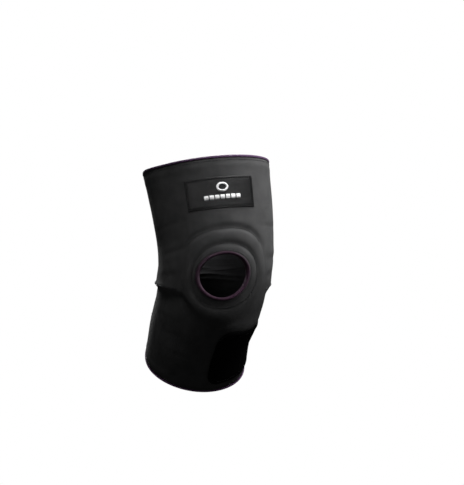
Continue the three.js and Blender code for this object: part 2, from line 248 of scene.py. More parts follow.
# The dart's line on the outer side runs level, then turns down along the pad's lower edge.
OUTER_DART_ANGLES = [-115, -80, -55, -45, -36, -27, -18, -8]
OUTER_DART_HEIGHTS = [-1, 0.5, 1, 0.5, -4.5, -9.5, -12.5, -14]
INNER_DART_HEIGHT = -2.2
OUTER_DART_DEPTH = 1.9
OUTER_DART_DEEPEST = {"more": 1.4, "angle": -58, "reach": 17}
INNER_DART_DEPTH = 4.4
DART_EDGE = 0.8  # the step spreads over about this height
DART_RUN = 36  # below the step the cloth comes out again over about this height


def dart_line(angle):
    """The dart's height at a signed angle, on either side."""
    return np.where(angle < 0, np.interp(angle, OUTER_DART_ANGLES, OUTER_DART_HEIGHTS), INNER_DART_HEIGHT)


def dart_relief(angle, s):
    """The dart on each side: the cloth above it overhangs, and the cloth below comes out slowly."""
    angle = signed(angle)
    outer = angle < 0
    reach = np.abs(angle)
    begin = np.where(outer, smoothstep(reach, 12, 42), smoothstep(reach, 50, 78))
    side = begin * (1 - smoothstep(reach, 116, 134))
    above = s - dart_line(angle)
    step = 1 / (1 + np.exp(np.clip(above / DART_EDGE, -30, 30)))
    deepest = OUTER_DART_DEEPEST
    outer_depth = OUTER_DART_DEPTH + deepest["more"] * bump_at(angle, deepest["angle"], deepest["reach"])
    depth = np.where(outer, outer_depth, INNER_DART_DEPTH)
    tuck = -depth * step * np.exp(np.minimum(above, 0) / DART_RUN)
    lip = np.where(outer, 1.7, 0.7) * bump_at(above, 3.6, 3.4) * smoothstep(reach, 48, 90)
    hollow = -1.6 * bump_at(above, -32, 14) * bump_at(angle, -52, 20)
    return side * (tuck + lip + hollow)


# Each fold's middle angle, height, depth and reach round the leg.
SIDE_FOLDS = [
    (-60, 33, 0.45, 15), (-66, 14, 0.4, 14), (-70, -22, 0.2, 18), (-50, -34, 0.15, 20), (68, 24, 0.5, 16),
    (62, 11, 0.4, 12), (-66, 60, 0.2, 20), (60, 52, 0.3, 18), (-30, -52, 0.15, 22),
]
FOLD_SLOPE = 0.06


def fold_relief(angle, s):
    """Soft level folds that the bent knee presses into the sides."""
    angle = signed(angle)
    total = np.zeros(np.broadcast(angle, s).shape)
    for centre, height, depth, reach in SIDE_FOLDS:
        line = height + FOLD_SLOPE * (angle - centre)
        fold = bump_at(angle, centre, reach)
        total -= depth * fold * bump_at(s, line, 2.6)
        total += 0.5 * depth * fold * bump_at(s, line + 5, 3.5)
    return total


# Each crease's height, middle angle from the back, slope, depth, reach round the leg and width.
BACK_CREASES = [
    (-24, 14, 0.12, 1.0, 30, 2.6), (-11, -10, -0.08, 2.0, 44, 2.2), (2, 4, 0.04, 2.6, 56, 2.6),
    (13, -22, -0.12, 1.5, 28, 2.0), (19, 20, 0.09, 1.8, 36, 2.4), (33, -4, 0.05, 1.4, 40, 3.0),
    (48, 12, -0.05, 0.8, 30, 3.5),
]


def popliteal_relief(angle, s):
    """Creases in the hollow of the knee: deepest at the bend, each with its own slant and reach."""
    behind = np.asarray(angle, float) % 360 - 180
    total = np.zeros(np.broadcast(angle, s).shape)
    for height, middle, slope, depth, reach, width in BACK_CREASES:
        line = height + slope * (behind - middle) + 1.2 * np.sin(0.11 * behind + height)
        fold = bump_at(behind, middle, reach)
        total -= depth * fold * bump_at(s, line, width)
        total += 0.7 * depth * fold * bump_at(s, line + 2.6 * width, 2.1 * width)
    return total


def strap_top(angle):
    return np.interp(angle, STRAP_ANGLES, STRAP_TOPS)


def strap_low(angle):
    return np.interp(angle, STRAP_ANGLES, STRAP_LOWS)


def strap_relief(angle, s):
    """The shell is pressed in under the strap and swells along its edges."""
    turned = (np.asarray(angle, float) + 100) % 360 - 100
    top, low = strap_top(turned), strap_low(turned)
    end, root = STRAP_ANGLES[0], STRAP_ANGLES[2]
    along = smoothstep(turned, end - 1, end + 8) * (1 - smoothstep(turned, root - 6, root + 2))
    under = smoothstep(s, low - 2, low + 3) * (1 - smoothstep(s, top - 5, top + 1))
    edge = bump_at(s, top + 4, 4)
    return along * (0.5 * edge - 0.9 * under)


def weave_relief(angle, s):
    """Slow, shallow unevenness of worn cloth."""
    turn = np.radians(angle)
    a = np.sin(0.055 * s + 2 * np.sin(2 * turn + 0.4))
    b = np.sin(0.13 * s - 3 * turn + 1.7)
    c = np.sin(0.21 * s + 5 * turn + 2.2 * np.sin(0.04 * s))
    return 0.22 * a + 0.14 * b + 0.09 * c


def seam_relief(angle):
    """A valley under each flat seam, with a soft ridge in front of it."""
    reach = np.abs(signed(angle))
    return -0.7 * bump_at(reach, SEAM_ANGLE, 2.6) + 0.35 * bump_at(reach, SEAM_ANGLE - 6, 3)


def hem_relief(s):
    """The binding pinches the cut edges a little, and the cloth swells beside it."""
    top = SLEEVE_TOP - s
    low = s - SLEEVE_BOTTOM
    pinch = -0.6 * np.exp(-top / 3) - 0.6 * np.exp(-low / 3)
    return pinch + 0.35 * bump_at(top, 9, 4) + 0.35 * bump_at(low, 9, 4)


def relief(angle, s):
    total = ring_relief(angle, s) + dart_relief(angle, s) + fold_relief(angle, s)
    total = total + popliteal_relief(angle, s) + strap_relief(angle, s) + weave_relief(angle, s)
    return total + seam_relief(angle) + hem_relief(s)


def inner_offset(angle, s):
    """The lining side follows the big folds but not the fine ones."""
    return -WALL + 0.25 * (dart_relief(angle, s) + popliteal_relief(angle, s)) + weave_relief(angle, s)


# ---- mesh helpers


def add_object(name, data):
    item = bpy.data.objects.new(name, data)
    bpy.context.scene.collection.objects.link(item)
    return item


def make_mesh(name, points, faces, materials, uv, face_material=None, sharp=50):
    mesh = bpy.data.meshes.new(name)
    mesh.from_pydata((np.asarray(points) * MM).tolist(), [], [tuple(int(v) for v in f) for f in faces])
    for material in materials:
        mesh.materials.append(material)
    if face_material is not None:
        mesh.polygons.foreach_set("material_index", np.asarray(face_material, np.int32))
    mesh.polygons.foreach_set("use_smooth", np.ones(len(mesh.polygons), bool))
    layer = mesh.uv_layers.new(name="cloth")
    loops = np.zeros(len(mesh.loops), np.int32)
    mesh.loops.foreach_get("vertex_index", loops)
    layer.data.foreach_set("uv", np.asarray(uv, np.float32)[loops].ravel())
    mesh.update()
    mesh.set_sharp_from_angle(angle=math.radians(sharp))
    return add_object(name, mesh)


def grid_faces(rows, columns, wrap):
    """Quads of a grid of rows x columns points; the rows close on themselves if wrap."""
    i = np.arange(rows if wrap else rows - 1)
    j = np.arange(columns - 1)
    a, b = np.meshgrid(i, j, indexing="ij")
    here = a * columns + b
    after = (a + 1) % rows * columns + b
    return np.stack([here, after, after + 1, here + 1], -1).reshape(-1, 4)


def outward(points, faces):
    """Turns the faces round if they enclose a negative volume."""
    a, b, c, d = (points[faces[:, k]] for k in range(4))
    volume = np.einsum("ij,ij->", a, np.cross(b, c)) + np.einsum("ij,ij->", a, np.cross(c, d))
    return faces[:, ::-1] if volume < 0 else faces


def slab(name, outer, inner, wrap, materials, uv):
    """A closed sheet from two grids of points (rows, columns, 3), joined round their rims.

    materials holds the outer face's and the inner face's; the rim takes the outer one."""
    rows, columns = outer.shape[:2]
    count = rows * columns
    points = np.concatenate([outer.reshape(-1, 3), inner.reshape(-1, 3)])
    face = grid_faces(rows, columns, wrap)
    sides = []
    for i in range(rows if wrap else rows - 1):
        here, after = i * columns, ((i + 1) % rows) * columns
        sides.append([here, count + here, count + after, after])
        end, end_after = here + columns - 1, after + columns - 1
        sides.append([end, end_after, count + end_after, count + end])
    if not wrap:
        for j in range(columns - 1):
            sides.append([j, j + 1, count + j + 1, count + j])
            low = (rows - 1) * columns + j
            sides.append([low, count + low, count + low + 1, low + 1])
    faces = outward(points, np.concatenate([face, face[:, ::-1] + count, np.array(sides)]))
    kinds = np.zeros(len(faces), int)
    kinds[len(face):2 * len(face)] = 1
    return make_mesh(name, points, faces, materials, np.tile(uv.reshape(-1, 2), (2, 1)), kinds)


def cloth_uv(angle, s):
    """Texture coordinates in millimetres of cloth: round the leg, and along it."""
    turn = np.radians(angle)
    depth = np.where(np.cos(turn) > 0, section_value(s, "front"), section_value(s, "rear"))
    along = s + depth * np.cos(turn) * (lean_at(s) - lean_at(0.0))
    return np.stack([turn * CLOTH_RADIUS, along], -1)


def cloth(name, angle, s, outer, inner, materials, wrap=False):
    """A closed sheet over a grid of places, between two offsets from the sleeve's surface."""
    outer, inner = surface(angle, s, outer), surface(angle, s, inner)
    return slab(name, outer, inner, wrap, materials, cloth_uv(angle, s))


def swept(name, rings, material, girth):
    """A tube that closes on itself, from rings of points (stations, sides, 3); girth is its uv width."""
    stations, sides = rings.shape[:2]
    points = rings.reshape(-1, 3)
    a, b = np.meshgrid(np.arange(stations), np.arange(sides), indexing="ij")
    row, next_row = a * sides, (a + 1) % stations * sides
    side = (b + 1) % sides
    faces = np.stack([row + b, next_row + b, next_row + side, row + side], -1).reshape(-1, 4)
    steps = np.linalg.norm(np.diff(rings[:, 0], axis=0, append=rings[:1, 0]), axis=1)
    along = np.concatenate([[0], np.cumsum(steps)[:-1]])
    across = np.arange(sides) / sides
    uv = np.stack(np.meshgrid(along, across * girth, indexing="ij"), -1).reshape(-1, 2)
    return make_mesh(name, points, outward(points, faces), [material], uv)


# ---- stitches


def unit(vectors):
    return vectors / np.linalg.norm(vectors, axis=-1)[..., None]


def square_to(vectors, along):
    """Unit vectors made square to the unit vectors along."""
    return unit(vectors - along * np.einsum("ij,ij->i", vectors, along)[:, None])


def route_frame(angle, s, off):
    """Points on the sleeve, with the unit directions along the route and out of the cloth."""
    points = surface(angle, s, off)
    return points, unit(np.gradient(points, axis=0)), unit(surface(angle, s, off + 1.0) - points)


def stitch_row(name, angle, s, lift, material, pitch=3.0, length=2.3, width=0.75, height=0.55, slant=0.0):
    """Raised stitches along a route of places, lift above the cloth: one short thread at each pitch."""
    points, ahead, out = route_frame(angle, s, relief(angle, s) + lift)
    steps = np.linalg.norm(np.diff(points, axis=0), axis=1)
    walked = np.concatenate([[0], np.cumsum(steps)])
    count = max(2, int(round(walked[-1] / pitch)))
    centres = (np.arange(count) + 0.5) * walked[-1] / count
    place, along, up = (
        np.stack([np.interp(centres, walked, values[:, k]) for k in range(3)], -1)
        for values in (points, ahead, out)
    )
    along = unit(along)
    up = square_to(up, along)
    across = np.cross(along, up)
    if slant:
        cosine, sine = math.cos(slant), math.sin(slant)
        along, across = along * cosine + across * sine, across * cosine - along * sine
    return stitch_mesh(name, place, along, across, up, material, length, width, height)


# A thread's cross-sections: place along it, size and lift.
THREAD_RINGS = [(-1.0, 0.05, -0.5), (-0.8, 0.75, 0.1), (-0.3, 1.0, 0.9), (0.3, 1.0, 0.9), (0.8, 0.75, 0.1),
                (1.0, 0.05, -0.5)]
THREAD_SIDES = 6


def thread_shape(width, height):
    """One thread of length 1: its points and faces."""
    sides, last = THREAD_SIDES, len(THREAD_RINGS) - 1
    points = []
    for x, size, lift in THREAD_RINGS:
        for turn in np.arange(sides) * 2 * math.pi / sides:
            rise = lift * 0.5 + math.sin(turn) * size * 0.5
            points.append([x / 2, math.cos(turn) * size * width / 2, rise * height])
    faces = []
    for i in range(last):
        for k in range(sides):
            after = (k + 1) % sides
            faces.append([i * sides + k, (i + 1) * sides + k, (i + 1) * sides + after, i * sides + after])
    caps = [list(range(sides)), list(range(last * sides, (last + 1) * sides))[::-1]]
    return np.array(points), faces + caps


def stitch_mesh(name, place, along, across, up, material, length, width, height):
    """Rounded threads at the given places, each with its own three directions."""
    shape, one = thread_shape(width, height)
    count = len(shape)
    lengths = np.broadcast_to(length, len(place))
    points = []
    faces = []
    for i in range(len(place)):
        reach = shape[:, :1] * lengths[i]
        points.append(place[i] + reach * along[i] + shape[:, 1:2] * across[i] + shape[:, 2:] * up[i])
        faces += [[v + i * count for v in f] for f in one]
    uv = np.concatenate([shape[:, :2] + (i * 0.37, 0) for i in range(len(place))])
    return make_mesh(name, np.concatenate(points), faces, [material], uv, sharp=80)


# ---- materials


class Graph:
    """Short forms for building a shader."""

    def __init__(self, name, colour, roughness):
        self.material = bpy.data.materials.new(name)
        self.material.use_nodes = True
        self.tree = self.material.node_tree
        self.shader = self.tree.nodes["Principled BSDF"]
        self.set("Base Color", (*colour, 1.0))
        self.set("Roughness", roughness)
        place = self.tree.nodes.new("ShaderNodeUVMap")
        place.uv_map = "cloth"
        self.uv = place.outputs["UV"]
        split = self.tree.nodes.new("ShaderNodeSeparateXYZ")
        self.tree.links.new(self.uv, split.inputs[0])
        self.u = split.outputs["X"]
        self.v = split.outputs["Y"]

    def set(self, socket, value):
        self.shader.inputs[socket].default_value = value

    def link(self, output, socket):
        self.tree.links.new(output, self.shader.inputs[socket])

    def maths(self, operation, first, second=0.0, third=0.0):
        node = self.tree.nodes.new("ShaderNodeMath")
        node.operation = operation
        for socket, value in zip(node.inputs, (first, second, third)):
            if hasattr(value, "links"):
                self.tree.links.new(value, socket)
            else:
                socket.default_value = value
        return node.outputs[0]

    def mix(self, first, share, second, other_share):
        """The sum of two values, each times its share."""
        parts = self.maths("MULTIPLY", first, share), self.maths("MULTIPLY", second, other_share)
        return self.maths("ADD", *parts)

    def wave(self, value, length):
        return self.maths("SINE", self.maths("MULTIPLY", value, 2 * math.pi / length))

    def noise(self, scale, detail=3.0, stretch=(1.0, 1.0)):
        """Noise over the cloth, in millimetres: scale is how many lumps a millimetre holds."""
        mapping = self.tree.nodes.new("ShaderNodeMapping")
        mapping.inputs["Scale"].default_value = (scale * stretch[0], scale * stretch[1], 1.0)
        self.tree.links.new(self.uv, mapping.inputs["Vector"])
        node = self.tree.nodes.new("ShaderNodeTexNoise")
        node.inputs["Scale"].default_value = 1.0
        node.inputs["Detail"].default_value = detail
        self.tree.links.new(mapping.outputs[0], node.inputs["Vector"])
        return node.outputs["Fac"]

    def colours(self, factor, dark, light):
        ramp = self.tree.nodes.new("ShaderNodeValToRGB")
        ramp.color_ramp.elements[0].color = (*dark, 1.0)
        ramp.color_ramp.elements[1].color = (*light, 1.0)
        self.tree.links.new(factor, ramp.inputs["Fac"])
        self.link(ramp.outputs["Color"], "Base Color")

    def bump(self, height, distance_mm):
        node = self.tree.nodes.new("ShaderNodeBump")
        node.inputs["Distance"].default_value = distance_mm * MM
        node.inputs["Strength"].default_value = 1.0
        self.tree.links.new(height, node.inputs["Height"])
        self.link(node.outputs["Normal"], "Normal")


def jersey_height(g, wale, course):
    """Plain knit: columns of V-shaped loops, wale wide and course high, in millimetres."""
    x = g.maths("FRACT", g.maths("DIVIDE", g.u, wale))
    leg = g.maths("ABSOLUTE", g.maths("SUBTRACT", x, 0.5))
    across = g.maths("SINE", g.maths("MULTIPLY", leg, 2 * math.pi))
    y = g.maths("ADD", g.maths("DIVIDE", g.v, course), g.maths("MULTIPLY", leg, 1.3))
    loop = g.maths("MULTIPLY_ADD", g.maths("COSINE", g.maths("MULTIPLY", y, 2 * math.pi)), 0.3, 0.7)
    return g.maths("MULTIPLY", across, loop)


def knit_material(name, dark, light, wale, course, depth, roughness, sheen):
    g = Graph(name, dark, roughness)
    loops = jersey_height(g, wale, course)
    patches = g.noise(0.07, 5.0)
    fibres = g.noise(2.2, 2.0, (1.0, 0.5))
    shade = g.maths("ADD", g.maths("MULTIPLY", loops, 0.3), g.maths("MULTIPLY_ADD", patches, 1.1, -0.3))
    shade = g.maths("ADD", shade, g.maths("MULTIPLY", fibres, 0.3))
    g.colours(shade, dark, light)
    height = g.maths("ADD", loops, g.maths("MULTIPLY", fibres, 0.5))
    g.bump(height, depth)
    g.set("Sheen Weight", sheen)
    g.set("Sheen Roughness", 0.55)
    g.set("Specular IOR Level", 0.12)
    return g.material


def tape_material(name, dark, light):
    """Dark purple stretch tape with fine cross ribs, 0.9 mm apart."""
    g = Graph(name, dark, 0.6)
    ribs = g.wave(g.u, 0.9)
    fibres = g.noise(1.8, 2.0, (1.0, 0.3))
    shade = g.maths("ADD", g.maths("MULTIPLY_ADD", ribs, 0.2, 0.3), g.maths("MULTIPLY", fibres, 0.5))
    g.colours(shade, dark, light)
    g.bump(g.maths("ADD", ribs, fibres), 0.12)
    g.set("Sheen Weight", 0.03)
    g.set("Specular IOR Level", 0.15)
    return g.material


def thread_material(name, dark, light, roughness=0.45):
    """Twisted thread: slanted strands along each stitch."""
    g = Graph(name, dark, roughness)
    strands = g.maths("MULTIPLY_ADD", g.wave(g.maths("ADD", g.u, g.v), 0.45), 0.5, 0.5)
    g.colours(strands, dark, light)
    g.bump(strands, 0.08)
    g.set("Specular IOR Level", 0.15)
    return g.material


def label_material(name, dark, light):
    """Close satin weave with fine diagonal lines; painted light makes it paler towards the outer side."""
    g = Graph(name, dark, 0.5)
    twill = g.wave(g.maths("ADD", g.u, g.maths("MULTIPLY", g.v, 0.8)), 0.7)
    height = g.mix(twill, 0.6, g.wave(g.v, 0.5), 0.4)
    shade = g.mix(height, 0.12, g.noise(0.12, 3.0), 0.5)
    # painted light: lighter towards the outer end, darker towards the inner end the key lamp lights
    painted_side_light = g.maths("MULTIPLY", g.maths("SUBTRACT", 6.0, g.u), 0.019)
    g.colours(g.maths("ADD", shade, painted_side_light), dark, light)
    g.bump(height, 0.07)
    g.set("Specular IOR Level", 0.12)
    return g.material


def strap_material():
    """Deep black brushed loop tape: short pile with a faint lay."""
    g = Graph("loop_tape", (0.0035, 0.0035, 0.0037), 0.95)
    pile = g.noise(1.6, 5.0, (0.8, 1.3))
    tufts = g.noise(0.35, 3.0)
    g.colours(g.mix(pile, 0.6, tufts, 0.4), (0.0006, 0.0006, 0.0007), (0.0026, 0.0026, 0.0028))
    g.bump(g.maths("ADD", pile, g.maths("MULTIPLY", tufts, 0.5)), 0.35)
    g.set("Specular IOR Level", 0.02)
    return g.material


def grain_material(name, dark, light, roughness, scale, detail, depth, specular):
    """Plain moulded stuff with a grain: hook nylon, or the pad's foam."""
    g = Graph(name, dark, roughness)
    grain = g.noise(scale, detail)
    g.colours(grain, dark, light)
    g.bump(grain, depth)
    g.set("Specular IOR Level", specular)
    return g.material


SHELL = knit_material("shell_knit", (0.014, 0.014, 0.0145), (0.038, 0.038, 0.0385), wale=1.3, course=1.05,
                      depth=0.16, roughness=0.8, sheen=0.02)
LINING = knit_material("lining_knit", (0.004, 0.004, 0.0045), (0.013, 0.013, 0.014), wale=1.8, course=1.5,
                       depth=0.25, roughness=0.9, sheen=0.01)
THIGH_TAPE = tape_material("thigh_tape", (0.024, 0.0105, 0.028), (0.076, 0.037, 0.088))
# painted light: the calf hem's copy of the tape is lighter, as no lamp reaches its downward face
CALF_TAPE_PAINTED_LIGHT = tape_material("calf_tape_painted_light", (0.046, 0.018, 0.053), (0.15, 0.066, 0.17))
# painted shade: the window's copy of the tape is darker, as the shade of the dark inside
WINDOW_TAPE_PAINTED_SHADE = tape_material("window_tape_painted_shade", (0.010, 0.0028, 0.0082), (0.032, 0.0112, 0.0262))
THREAD = thread_material("black_thread", (0.004, 0.004, 0.0045), (0.016, 0.016, 0.017))
STRAP_THREAD = thread_material("strap_thread", (0.001, 0.001, 0.0011), (0.0045, 0.0045, 0.005), 0.8)
SEAM_THREAD = thread_material("seam_thread", (0.008, 0.008, 0.009), (0.028, 0.028, 0.03))
MOTIF_THREAD = thread_material("white_thread", (0.45, 0.45, 0.45), (0.85, 0.85, 0.86), 0.4)
LABEL_CLOTH = label_material("label_weave", (0.0015, 0.0015, 0.0018), (0.019, 0.019, 0.0195))
LABEL_BORDER = label_material("label_fold", (0.0008, 0.0008, 0.001), (0.012, 0.012, 0.0125))
STRAP_CLOTH = strap_material()
HOOK_NYLON = grain_material("hook_nylon", (0.004, 0.004, 0.005), (0.014, 0.014, 0.016), roughness=0.45,
                            scale=3.0, detail=3.0, depth=0.05, specular=0.5)
FOAM = grain_material("pad_foam", (0.012, 0.012, 0.013), (0.04, 0.04, 0.043), roughness=0.95,
                      scale=1.4, detail=4.0, depth=0.25, specular=0.15)

# ---- sleeve pieces


def bends(piece, slot, *nodes):
    """A piece on the sleeve's bending part."""
    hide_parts(*nodes)
    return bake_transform(piece)


def rides(piece, body, slot, *nodes):
    """A piece that moves with one body."""
    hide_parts(*nodes)
    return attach(piece, body)


def peels(piece, slot, *nodes):
    """A piece where the strap's free end opens."""
    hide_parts(*nodes)
    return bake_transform(piece)


PANEL_INSET = 1.0  # from the sleeve's ends to the cut edges, inside the tape
PANEL_TOP = SLEEVE_TOP - PANEL_INSET
PANEL_BOTTOM = SLEEVE_BOTTOM + PANEL_INSET
PANEL_HALF_HEIGHT = 108  # with SEAM_ANGLE it spreads the front panel's outline round the window
WINDOW_RINGS = 118


def front_outline(points_up, points_round):
    """Angle and height round the front panel's rectangle, with its corners on it."""
    edge = SEAM_ANGLE
    corners = [(edge, PANEL_BOTTOM), (edge, PANEL_TOP), (-edge, PANEL_TOP), (-edge, PANEL_BOTTOM)]
    angles, heights = [], []
    for k, (angle, s) in enumerate(corners):
        to_angle, to_s = corners[(k + 1) % 4]
        count = points_round if k % 2 else points_up
        t = np.arange(count) / count
        angles.append(angle + (to_angle - angle) * t)
        heights.append(s + (to_s - s) * t)
    return np.concatenate(angles), np.concatenate(heights)


def front_panel():
    """One cloth panel, laid out in rings round the window so that the ring's relief is clean."""
    angle, s = front_outline(points_up=110, points_round=150)
    middle = np.interp(WINDOW_HEIGHT, ARC_LENGTHS, ARC_HEIGHTS)
    turn = np.arctan2((s - middle) / PANEL_HALF_HEIGHT, (angle - WINDOW_ANGLE) / SEAM_ANGLE)
    radius = hole_radius(turn)
    hole_angle, hole_s = front_place(radius * np.cos(turn), radius * np.sin(turn))
    b = np.linspace(0, 1, WINDOW_RINGS)
    eased = (0.42 * b + 0.58 * b * b)[None, :]  # the rings are closest near the window
    angles = hole_angle[:, None] + (angle - hole_angle)[:, None] * eased
    heights = hole_s[:, None] + (s - hole_s)[:, None] * eased
    outer, inner = relief(angles, heights), inner_offset(angles, heights)
    piece = cloth("front_panel", angles, heights, outer, inner, [SHELL, LINING], wrap=True)
    bends(piece, "shell", "thigh_front_panel", "knee_front_panel", "calf_front_panel")
    return piece


def back_panel():
    angle = np.linspace(SEAM_ANGLE, 360 - SEAM_ANGLE, 100)
    s = np.linspace(PANEL_BOTTOM, PANEL_TOP, 170)
    angles, heights = np.meshgrid(angle, s, indexing="ij")
    outer, inner = relief(angles, heights), inner_offset(angles, heights)
    piece = cloth("back_panel", angles, heights, outer, inner, [SHELL, LINING])
    bends(piece, "shell", "thigh_back_panel", "popliteal_panel", "calf_back_panel")
    return piece


TAPE_THICK = 0.8
TAPE_MIDDLE = -2  # offsets above this belong to the tape's outer half


def tape_profile(outer, inner, reach, fold):
    """Rounded U of a folded tape: (offset, distance past the cut edge) round its cross-section."""
    front = [(outer - 0.25, -reach), (outer, -reach * 0.75), (outer + 0.1, -reach * 0.35),
             (outer - 0.15, fold * 0.55), (outer - 0.9, fold * 0.92)]
    back = [(inner + 0.9, fold * 0.92), (inner + 0.15, fold * 0.55), (inner - 0.1, -reach * 0.35),
            (inner, -reach * 0.75), (inner + 0.25, -reach)]
    inside = [(inner + TAPE_THICK, -reach + 0.15), (inner + TAPE_THICK, -0.3), (outer - TAPE_THICK, -0.3),
              (outer - TAPE_THICK, -reach + 0.15)]
    return front + [((outer + inner) / 2, fold)] + back + inside


def hem_tape(name, edge, outward_sign, node, body):
    """Stretch tape folded over a cut edge, drawn in a little at each stitch."""
    stations = 420
    angle = np.arange(stations) * 360 / stations
    lift = relief(angle, np.full(stations, edge - outward_sign * 3)) * 0.5
    pull = 0.08 * np.sin(np.radians(angle) * 130)
    rings = []
    for off, past in tape_profile(outer=0.6, inner=-WALL - 0.6, reach=1.7, fold=0.7):
        s = edge + outward_sign * past
        rings.append(surface(angle, s, off + lift + pull * (1 if off > TAPE_MIDDLE else -1)))
    # the calf hem takes the tape's lighter copy, which is painted light
    tape = THIGH_TAPE if outward_sign > 0 else CALF_TAPE_PAINTED_LIGHT
    piece = swept(name, np.stack(rings, 1), tape, girth=16.0)
    return rides(piece, body, "edge_binding", node)


def window_tape_painted_shade():
    """The same tape round the window's edge, holding shell, pad and lining together; its colour is darker,
    painted shade.
    """
    stations = 300
    turn = np.arange(stations) * 2 * math.pi / stations
    spread = 1.1 * smoothstep(-np.cos(turn + 0.5), -0.3, 0.9)  # the tape is wider on the outer side
    edge = hole_radius(turn, 1.0)
    lift = relief(*front_place(edge * np.cos(turn), edge * np.sin(turn))) + 0.06 * np.sin(turn * 52)
    rings = []
    for off, past in tape_profile(outer=0.55, inner=-WALL - 1.6, reach=1.2, fold=1.0):
        front = off > TAPE_MIDDLE
        radius = hole_radius(turn, -past - 0.4 + (spread if past < -0.5 and front else 0))
        angle, s = front_place(radius * np.cos(turn), radius * np.sin(turn))
        rings.append(surface(angle, s, off + (lift if front else 0)))
    piece = swept("window_tape_painted_shade", np.stack(rings, 1), WINDOW_TAPE_PAINTED_SHADE, girth=14.0)
    return bends(piece, "edge_binding", "window_binding")


HEM_STITCH_INSET = 4.2


def hem_stitches(name, edge, outward_sign, node, body):
    """A fine row inside the tape, the shell's own colour."""
    angle = np.linspace(0, 360, 361)
    s = np.full_like(angle, edge - outward_sign * HEM_STITCH_INSET)
    piece = stitch_row(name, angle, s, 0.04, SEAM_THREAD, pitch=3.1, width=0.5)
    return rides(piece, body, "thread", node)


def oval_route(radius_of, start=0.0, stop=360.0, count=361):
    turn = np.radians(np.linspace(start, stop, count))
    radius = radius_of(turn)
    return front_place(radius * np.cos(turn), radius * np.sin(turn))


def ring_stitches():
    window = oval_route(lambda turn: hole_radius(turn, 2.6))
    row = stitch_row("window_stitches", *window, 0.05, THREAD, pitch=2.8, length=2.1, width=0.65)
    bends(row, "thread", "window_binding")
    row = stitch_row("groove_stitches", *oval_route(groove_radius), 0.15, THREAD)
    bends(row, "thread", "pad_stitching")
    row = stitch_row("arch_stitches", *oval_route(pad_radius, 40, 140, 181), 0.15, THREAD)
    bends(row, "thread", "arch_stitching")


def ring_pad():
    """The foam ring under the shell and its lining, puffed towards the leg."""
    stations = 180
    turn = np.arange(stations) * 2 * math.pi / stations
    t = np.linspace(0, 1, 22)
    inside, outside = hole_radius(turn, 1.0), pad_radius(turn)
    radius = inside[:, None] + (outside - inside)[:, None] * t[None, :]
    angle, s = front_place(radius * np.cos(turn)[:, None], radius * np.sin(turn)[:, None])
    crown = np.sin(np.pi * np.clip(t, 0.0, 1.0)) ** 0.5  # full in its middle, thin at both edges
    top = inner_offset(angle, s) - 0.25
    foam_low = top - 0.5 - 3.6 * crown[None, :]
    pad = cloth("ring_pad", angle, s, top, foam_low, [FOAM, FOAM], wrap=True)
    bends(pad, "pad_foam", "patella_pad")
    lining_top = foam_low - 0.2
    lining = cloth("ring_lining", angle, s, lining_top, lining_top - 0.7, [LINING, LINING], wrap=True)
    bends(lining, "lining", "pad_lining")


# ---- seams


SEAM_HALF = 2.1
SEAM_ENDS = 5  # from the sleeve's ends


def flat_seam(word, sign):
    """A flat seam: a low ladder of thread over the joint of the two panels."""
    nodes = [f"{part}_seam_{word}" for part in ("thigh", "knee", "calf")]
    s = np.linspace(SLEEVE_BOTTOM + SEAM_ENDS, SLEEVE_TOP - SEAM_ENDS, 400)
    angle = np.full_like(s, sign * SEAM_ANGLE)
    across = np.linspace(-1, 1, 9)
    angles = angle[:, None] + np.degrees(SEAM_HALF * across / CLOTH_RADIUS)[None, :]
    heights = np.repeat(s[:, None], len(across), 1)
    crown = 0.5 * np.sqrt(np.clip(1 - across**2, 0, 1))[None, :]
    base = relief(angles, heights)
    outer, inner = base + 0.15 + crown, base - 0.3
    tape = cloth(f"seam_tape_{word}", angles, heights, outer, inner, [SHELL, SHELL])
    bends(tape, "thread", *nodes)
    ladder = stitch_row(f"seam_rungs_{word}", angle, s, 0.55, SEAM_THREAD, pitch=2.6, length=4.6,
                        width=0.9, height=0.6, slant=math.radians(66))
    bends(ladder, "thread", *nodes)
    for edge, side in (("inner", -1), ("outer", 1)):
        beside = angle + np.degrees(side * SEAM_HALF / CLOTH_RADIUS)
        row = stitch_row(f"seam_row_{word}_{edge}", beside, s, 0.25, SEAM_THREAD, pitch=2.9, length=2.5,
                         width=0.65)
        bends(row, "thread", *nodes)


DART_STITCH_RISE = 3.4  # the row runs this far above the dart's line


def dart_stitches(word, sign):
    angle = sign * np.linspace(52, 111, 80)
    s = dart_line(angle) + DART_STITCH_RISE
    piece = stitch_row(f"dart_stitches_{word}", angle, s, 0.2, THREAD, pitch=2.7, length=2.1, width=0.7)
    bends(piece, "thread", f"side_dart_{word}")


# ---- label


def label_place(x, y):
    """x and y from -1 to 1 over the label."""
    angle = (LABEL["left"] + LABEL["right"]) / 2 + x * (LABEL["right"] - LABEL["left"]) / 2
    s = (LABEL["bottom"] + LABEL["top"]) / 2 + y * (LABEL["top"] - LABEL["bottom"]) / 2
    return angle, s


LABEL_FOLD = 2.6  # width of the darker folded border
LABEL_STITCH_INSET = 2.0


def label():
    x = np.linspace(-1, 1, 110)
    y = np.linspace(-1, 1, 54)
    xs, ys = np.meshgrid(x, y, indexing="ij")
    angle, s = label_place(xs, ys)
    edge = np.minimum((1 - np.abs(xs)) * LABEL_HALF_WIDTH, (1 - np.abs(ys)) * LABEL_HALF_HEIGHT)
    crown = 0.45 * (1 - np.exp(-edge / 0.5)) + 0.15 * smoothstep(edge, 2, 8) - 0.3 * bump_at(edge, 2.0, 0.7)
    base = relief(angle, s)
    piece = cloth("label", angle, s, base + 0.3 + crown, base + 0.05, [LABEL_CLOTH, LABEL_BORDER])
    folded = np.minimum(edge[:-1, :-1], edge[1:, 1:]).ravel() < LABEL_FOLD
    kinds = np.zeros(len(piece.data.polygons), np.int32)
    piece.data.polygons.foreach_get("material_index", kinds)
    kinds[:len(folded)] = folded
    piece.data.polygons.foreach_set("material_index", kinds)
    rides(piece, "thigh", "label_cloth", "label_patch")


